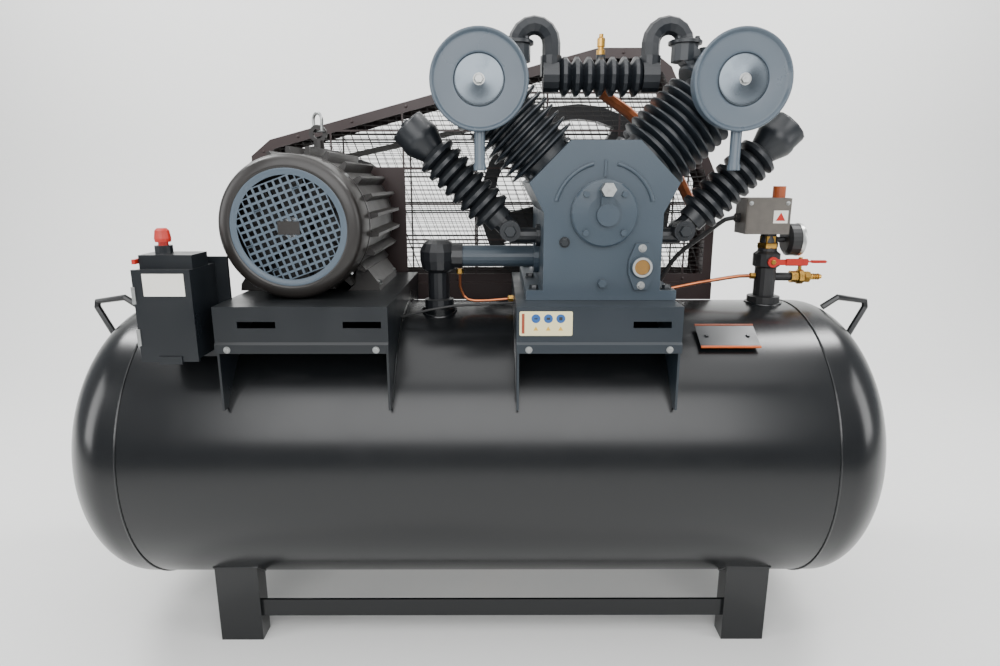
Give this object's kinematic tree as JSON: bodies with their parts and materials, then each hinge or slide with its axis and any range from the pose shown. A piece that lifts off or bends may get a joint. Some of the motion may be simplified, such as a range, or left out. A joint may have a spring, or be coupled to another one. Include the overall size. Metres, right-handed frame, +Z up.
{
  "type": "two-stage piston air compressor",
  "caption": "Belt-driven V-type two-stage piston air compressor with finned coolers, caged belt drive and electric motor on a long horizontal air receiver.",
  "frame": {"origin": "on the floor, under the middle of the receiver", "axes": "+X along the receiver towards the air outlet end, +Y towards the belt guard at the back, +Z up"},
  "size_m": [1.6978, 0.606, 1.2447],
  "materials": {
    "tank_paint": "semi-gloss black paint",
    "frame_paint": "semi-gloss black paint",
    "bracket_paint": "satin blue-black paint",
    "box_paint": "satin black paint",
    "motor_paint": "satin brown-black paint over cast ribs",
    "case_paint": "satin slate paint over cast iron",
    "cylinder_paint": "satin slate paint over finned cast iron",
    "cooler_paint": "satin slate paint over cast fins",
    "filter_paint": "satin slate paint on pressed sheet",
    "wheel_paint": "painted cast iron, machined grooves",
    "guard_paint": "dark red-brown paint",
    "ground_steel": "ground and machined",
    "piston_alloy": "machined alloy",
    "plug_alloy": "machined alloy",
    "valve_brass": "machined brass",
    "pipe_copper": "drawn copper, slightly oxidised",
    "belt_rubber": "dusty fabric-backed rubber",
    "hose_rubber": "smooth black sheath",
    "valve_iron": "dark painted cast iron",
    "manifold_black": "satin black",
    "black_plastic": "matt moulded",
    "red_plastic": "moulded red",
    "knob_orange": "moulded orange-brown",
    "sight_alloy": "machined alloy ring on painted plate"
  },
  "bodies": {
    "machine": {"tank_shell": "tank_paint", "tank_head_left": "tank_paint", "tank_head_right": "tank_paint", "leg_frame_front": "frame_paint", "leg_frame_rear": "frame_paint", "lifting_handle_left": "frame_paint", "lifting_handle_right": "frame_paint", "motor_bracket": "bracket_paint", "pump_bracket": "bracket_paint", "motor_frame": "motor_paint", "motor_fan_cowl": "motor_paint", "v_belt_1": "belt_rubber", "v_belt_2": "belt_rubber", "crankcase": "case_paint", "crankcase_front_cover": "case_paint", "oil_breather_plug": "plug_alloy", "oil_sight_glass": "sight_alloy", "first_stage_cylinder_left": "cylinder_paint", "first_stage_cylinder_right": "cylinder_paint", "first_stage_head_left": "cylinder_paint", "first_stage_head_right": "cylinder_paint", "second_stage_cylinder_left": "cylinder_paint", "second_stage_cylinder_right": "cylinder_paint", "side_cooler_left": "cooler_paint", "side_cooler_right": "cooler_paint", "intercooler": "cooler_paint", "intercooler_bend_left": "cooler_paint", "intercooler_bend_right": "cooler_paint", "intercooler_safety_valve": "valve_brass", "interstage_pipe": "pipe_copper", "intake_filter_left": "filter_paint", "intake_filter_right": "filter_paint", "discharge_pipe": "valve_iron", "check_valve": "valve_iron", "unloader_tube": "pipe_copper", "control_tube": "pipe_copper", "belt_guard_front": "guard_paint", "belt_guard_rear": "guard_paint", "switch_box": "box_paint", "supply_hose": "hose_rubber", "switch_cable": "hose_rubber", "air_manifold": "manifold_black", "pressure_switch": "black_plastic", "pressure_gauge": "black_plastic", "outlet_cock": "valve_brass", "tank_drain_valve": "valve_brass"},
    "crank": {"crankshaft": "ground_steel", "flywheel": "wheel_paint"},
    "rotor": {"motor_rotor": "ground_steel", "motor_fan": "black_plastic", "motor_pulley": "wheel_paint"},
    "left_piston": {"first_stage_piston_left": "piston_alloy"},
    "right_piston": {"first_stage_piston_right": "piston_alloy"},
    "stop_button": {"stop_button": "red_plastic"},
    "isolator_lever": {"isolator_lever": "red_plastic"},
    "riser_valve_lever": {"riser_valve_lever": "red_plastic"},
    "outlet_cock_lever": {"outlet_cock_lever": "red_plastic"},
    "switch_knob": {"pressure_switch_knob": "knob_orange"},
    "needle": {"gauge_needle": "red_plastic"},
    "box_door": {"switch_box_door": "box_paint"}
  },
  "joints": [
    {"name": "crank_spin", "type": "hinge", "parent": "machine", "child": "crank", "pos_m": [0.227, 0, 0.892], "axis": [0, 1, 0], "continuous": true},
    {"name": "motor_spin", "type": "hinge", "parent": "machine", "child": "rotor", "pos_m": [-0.342, 0, 0.866], "axis": [0, 1, 0], "continuous": true},
    {"name": "left_piston_slide", "type": "slide", "parent": "machine", "child": "left_piston", "axis": [-0.7071, 0, 0.7071], "range_m": [-0.06, 0]},
    {"name": "right_piston_slide", "type": "slide", "parent": "machine", "child": "right_piston", "axis": [0.7071, 0, 0.7071], "range_m": [-0.06, 0]},
    {"name": "stop_button_press", "type": "slide", "parent": "machine", "child": "stop_button", "axis": [0, 0, -1], "range_m": [0, 0.005], "stiffness_N_per_m": 400},
    {"name": "isolator_turn", "type": "hinge", "parent": "machine", "child": "isolator_lever", "pos_m": [-0.5863, -0.252, 0.813], "axis": [1, 0, 0], "range_deg": [-90, 0]},
    {"name": "riser_valve_turn", "type": "hinge", "parent": "machine", "child": "riser_valve_lever", "pos_m": [0.616, -0.035, 0.7815], "axis": [0, 1, 0], "range_deg": [0, 90]},
    {"name": "outlet_cock_turn", "type": "hinge", "parent": "machine", "child": "outlet_cock_lever", "pos_m": [0.69, 0, 0.776], "axis": [0, 0, 1], "range_deg": [0, 90]},
    {"name": "switch_knob_pull", "type": "slide", "parent": "machine", "child": "switch_knob", "axis": [0, 0, 1], "range_m": [0, 0.008]},
    {"name": "gauge_needle_turn", "type": "hinge", "parent": "machine", "child": "needle", "pos_m": [0.675, 0, 0.826], "axis": [-1, 0, 0], "range_deg": [0, 270], "stiffness_Nm_per_rad": 0.0005},
    {"name": "box_door_hinge", "type": "hinge", "parent": "machine", "child": "box_door", "pos_m": [-0.59, -0.3, 0.72], "axis": [0, 0, 1], "range_deg": [-110, 0]}
  ],
  "couplings": [
    {"joint": "motor_spin", "follows": "crank_spin", "ratio": 1.6786}
  ]
}
